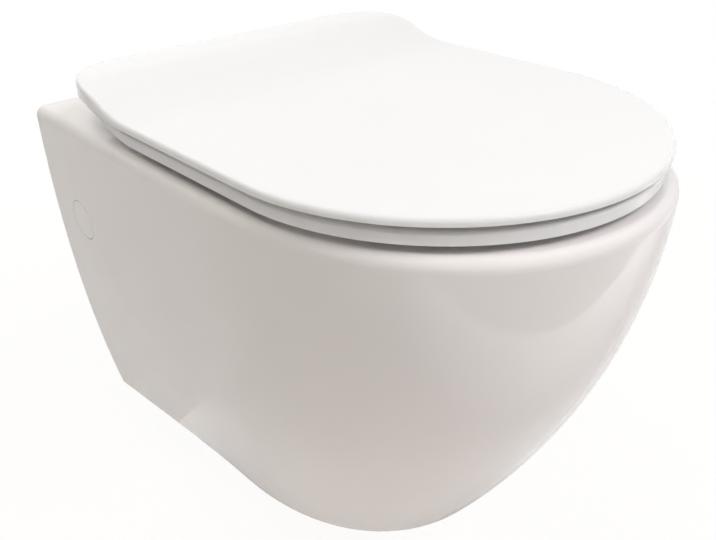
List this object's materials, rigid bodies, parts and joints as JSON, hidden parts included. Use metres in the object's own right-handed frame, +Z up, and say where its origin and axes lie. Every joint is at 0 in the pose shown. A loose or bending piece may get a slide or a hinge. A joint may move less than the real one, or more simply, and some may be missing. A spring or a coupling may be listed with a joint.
{
  "type": "wall-hung rimless toilet",
  "caption": "Wall-hung rimless toilet: one-piece ceramic pan with trap and concealed side fixing, slim hinged seat and lid that sweep up at the rear.",
  "frame": {"origin": "midway between the two wall studs, on the wall plane", "axes": "+Y into the wall, along the studs; -Y to the front of the bowl; +Z up; +X to the right seen from the front"},
  "size_m": [0.3816, 0.5094, 0.3843],
  "materials": {
    "glazed_china": "gloss white glaze",
    "white_polymer": "gloss",
    "seat_white": "gloss, moulded urea resin",
    "nylon": "satin",
    "zinc_steel": "zinc plated",
    "pin_steel": "ground",
    "chrome": "polished",
    "brass": "turned",
    "grey_rubber": "matt",
    "black_rubber": "matt",
    "damper_grey": "satin"
  },
  "bodies": {
    "pan": {"pan_shell": "glazed_china", "bowl": "glazed_china", "trap_and_outlet": "glazed_china", "inlet_pipe": "glazed_china", "flush_guide": "white_polymer", "side_caps": "white_polymer", "side_bushes": "nylon", "side_screws": "zinc_steel", "weld_nuts": "zinc_steel", "wall_bracket_right": "zinc_steel", "wall_bracket_left": "zinc_steel", "base_gaskets": "grey_rubber", "hinge_bases": "chrome", "hinge_posts": "chrome", "hinge_studs": "zinc_steel", "expanding_sleeves": "black_rubber", "cone_nuts": "brass", "hinge_pins": "pin_steel"},
    "seat": {"seat_ring": "seat_white", "seat_damper": "damper_grey", "seat_bush": "nylon", "seat_pads": "grey_rubber"},
    "lid": {"lid_panel": "seat_white", "lid_damper": "damper_grey", "lid_bush": "nylon", "lid_pads": "grey_rubber"}
  },
  "joints": [
    {"name": "seat_hinge", "type": "hinge", "parent": "pan", "child": "seat", "pos_m": [0, -0.041, 0.121], "axis": [-1, 0, 0], "range_deg": [0, 93]},
    {"name": "lid_hinge", "type": "hinge", "parent": "seat", "child": "lid", "pos_m": [0, -0.041, 0.121], "axis": [-1, 0, 0], "range_deg": [0, 95]}
  ]
}
